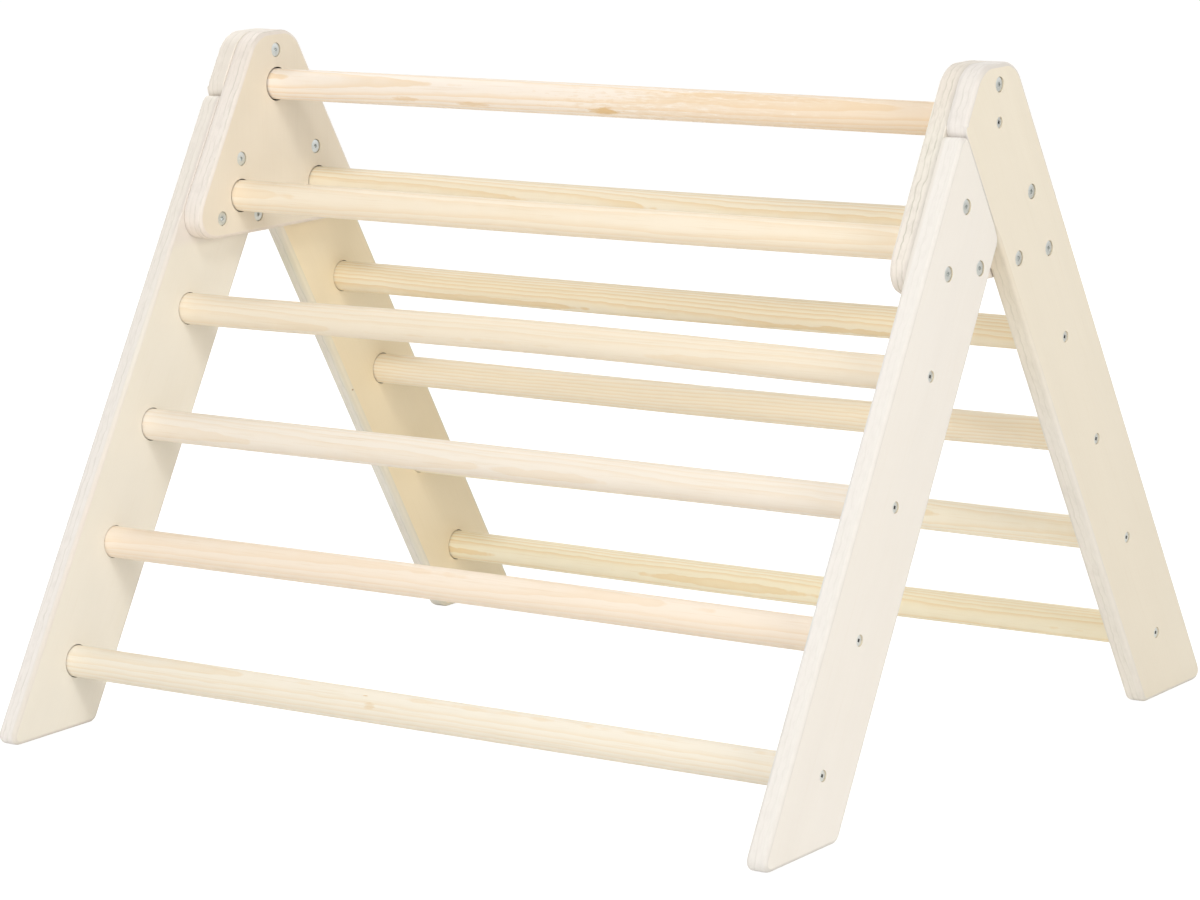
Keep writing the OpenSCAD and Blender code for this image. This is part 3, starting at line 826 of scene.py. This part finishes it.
def screws(name, node, side, points, face, length):
    """Countersunk screws in a face, with their threads as separate ridges."""
    bm = bmesh.new()
    bars = {CROSS_TURN: bmesh.new(), CROSS_TURN + pi / 2: bmesh.new()}
    top = face - SCREW_SINK
    tip = top - length
    shape = [(tip, 0), (tip, 0.0003), (tip + 0.005, SCREW_CORE)]
    for ridge in range(ceil((length - THREAD_FROM_TIP - THREAD_FROM_HEAD) / THREAD_PITCH)):
        x = tip + THREAD_FROM_TIP + ridge * THREAD_PITCH
        shape += [(x, SCREW_CORE), (x + 0.0007, SCREW_THREAD), (x + 0.0010, SCREW_THREAD),
                  (x + 0.0017, SCREW_CORE)]
    shape += [(top - 0.0023, 0.0022), (top - 0.0002, SCREW_HEAD), (top, SCREW_HEAD), (top, 0)]
    for point in points:
        lathe(bm, point, side, shape, steps=32)
        for turn, holes in bars.items():
            cross_cutter(holes, point, side, top, turn)
    made = piece(name, bm, node, ZINC)
    for holes in bars.values():
        cut(made, holes, NARROW_RECESS_SHADE)


for side in (LEFT, RIGHT):
    word = SIDE_NAMES[side]
    connectors("connector_bolts", side, OUTER, -1, BOLT_SHAPE)
    connectors("sleeve_nuts", side, INNER, 1, NUT_SHAPE)
    screws("leg_screws_" + word, word + "_leg_rung_screws", side,
           [on_leg(slope, step, 0) for slope in (FRONT, BACK) for step in LEG_STEPS],
           OUTER, SCREW_LENGTH)
    screws("gusset_screws_" + word, word + "_gusset_rung_screws", side,
           [on_leg(slope, UPPER_STEP, 0) for slope in (FRONT, BACK)], JOINT, SCREW_LENGTH)
    screws("top_screw_" + word, word + "_top_rung_screw", side, [on_leg(FRONT, 0, 0)], OUTER,
           TOP_SCREW_LENGTH)


# ---- floor, lights and camera ----

FLOOR_RADIUS = 12
FLOOR_DROP = 0.0003
FLOOR_WHITE = (0.9, 0.9, 0.9, 1)
FLOOR_GLOW, GLOW_SHARE = 1.32, 0.7
SKY_TONE, SKY_STRENGTH = (1, 0.93, 0.80, 1), 0.35
WHITE = (1, 1, 1, 1)
LAMPS_AIM = Vector((0, 0, 0.3))
LAMP_DISTANCE = 3.4
WARM = (1, 0.95, 0.87)
SENSOR_WIDTH = 36
PHOTO_WIDTH, FOCAL_LENGTH = 1200, 4288.2
CAMERA_PLACE = (2.23192, -3.25203, 0.99433)
AZIMUTH, ELEVATION, ROLL = radians(34.551), radians(10.670), radians(-1.075)


def direction(azimuth, elevation):
    """The way towards a place round the triangle, from the front towards the right and up."""
    return Vector((sin(azimuth) * cos(elevation), -cos(azimuth) * cos(elevation), sin(elevation)))


bm = bmesh.new()
bmesh.ops.create_circle(bm, cap_ends=True, segments=96, radius=FLOOR_RADIUS)
bmesh.ops.translate(bm, vec=(0, 0, -FLOOR_DROP), verts=bm.verts[:])
mesh = bpy.data.meshes.new("floor")
bm.to_mesh(mesh)
bm.free()
floor = bpy.data.objects.new("floor", mesh)
bpy.context.scene.collection.objects.link(floor)

# To the camera the white floor glows like the photo's background.
material, tree, shader, coords = finish_material("floor_white", roughness=0.9)
shader.inputs["Base Color"].default_value = FLOOR_WHITE
glow = wire(tree, "Emission", {"Color": WHITE, "Strength": FLOOR_GLOW})
camera_ray = wire(tree, "LightPath").outputs["Is Camera Ray"]
blend = wire(tree, "MixShader", {0: maths(tree, "MULTIPLY", camera_ray, GLOW_SHARE),
                                 1: shader.outputs[0], 2: glow.outputs[0]})
tree.links.new(blend.outputs[0], tree.nodes["Material Output"].inputs["Surface"])
mesh.materials.append(material)

# The sky lights the wood a little warmly, and is white to the camera and in reflections.
world = bpy.data.worlds.new("studio")
bpy.context.scene.world = world
world.use_nodes = True
tree = world.node_tree
sky = tree.nodes["Background"]
sky.inputs["Color"].default_value = SKY_TONE
sky.inputs["Strength"].default_value = SKY_STRENGTH
white = wire(tree, "Background", {"Color": WHITE, "Strength": 1.0})
path = wire(tree, "LightPath")
seen = maths(tree, "MAXIMUM", path.outputs["Is Camera Ray"], path.outputs["Is Glossy Ray"])
blend = wire(tree, "MixShader", {0: seen, 1: sky.outputs[0], 2: white.outputs[0]})
tree.links.new(blend.outputs[0], tree.nodes["World Output"].inputs["Surface"])


def lamp(name, azimuth, elevation, watts, size=1.6, colour=(1, 1, 1)):
    """A square soft light that looks at the middle of the triangle."""
    way = direction(radians(azimuth), radians(elevation))
    light = bpy.data.lights.new(name, "AREA")
    light.shape = "SQUARE"
    light.size = size
    light.energy = watts
    light.color = colour
    made = bpy.data.objects.new(name, light)
    bpy.context.scene.collection.objects.link(made)
    made.location = LAMPS_AIM + way * LAMP_DISTANCE
    made.rotation_euler = way.to_track_quat("Z", "Y").to_euler()


lamp("front", 0, 18, 27.7)
lamp("right", 70, 18, 35.3, colour=WARM)
lamp("high_front", 35, 50, 24.0, size=0.8)
lamp("behind", 180, 18, 25.7)
lamp("left", 250, 18, 26.8)
lamp("high_left", 250, 50, 25.0)

# The photo's own camera. Its focal length is known in pixels of the photo.
back = direction(AZIMUTH, ELEVATION)
level = Vector((0, 0, 1)).cross(back).normalized()
upright = back.cross(level)
right = level * cos(ROLL) + upright * sin(ROLL)
up = upright * cos(ROLL) - level * sin(ROLL)
camera_data = bpy.data.cameras.new("camera")
camera_data.sensor_width = SENSOR_WIDTH
camera_data.lens = FOCAL_LENGTH / PHOTO_WIDTH * SENSOR_WIDTH
camera = bpy.data.objects.new("camera", camera_data)
bpy.context.scene.collection.objects.link(camera)
camera.matrix_world = Matrix.Translation(CAMERA_PLACE) @ Matrix(
    (right, up, back)).transposed().to_4x4()
bpy.context.scene.camera = camera

view = bpy.context.scene.view_settings
view.view_transform = "Standard"
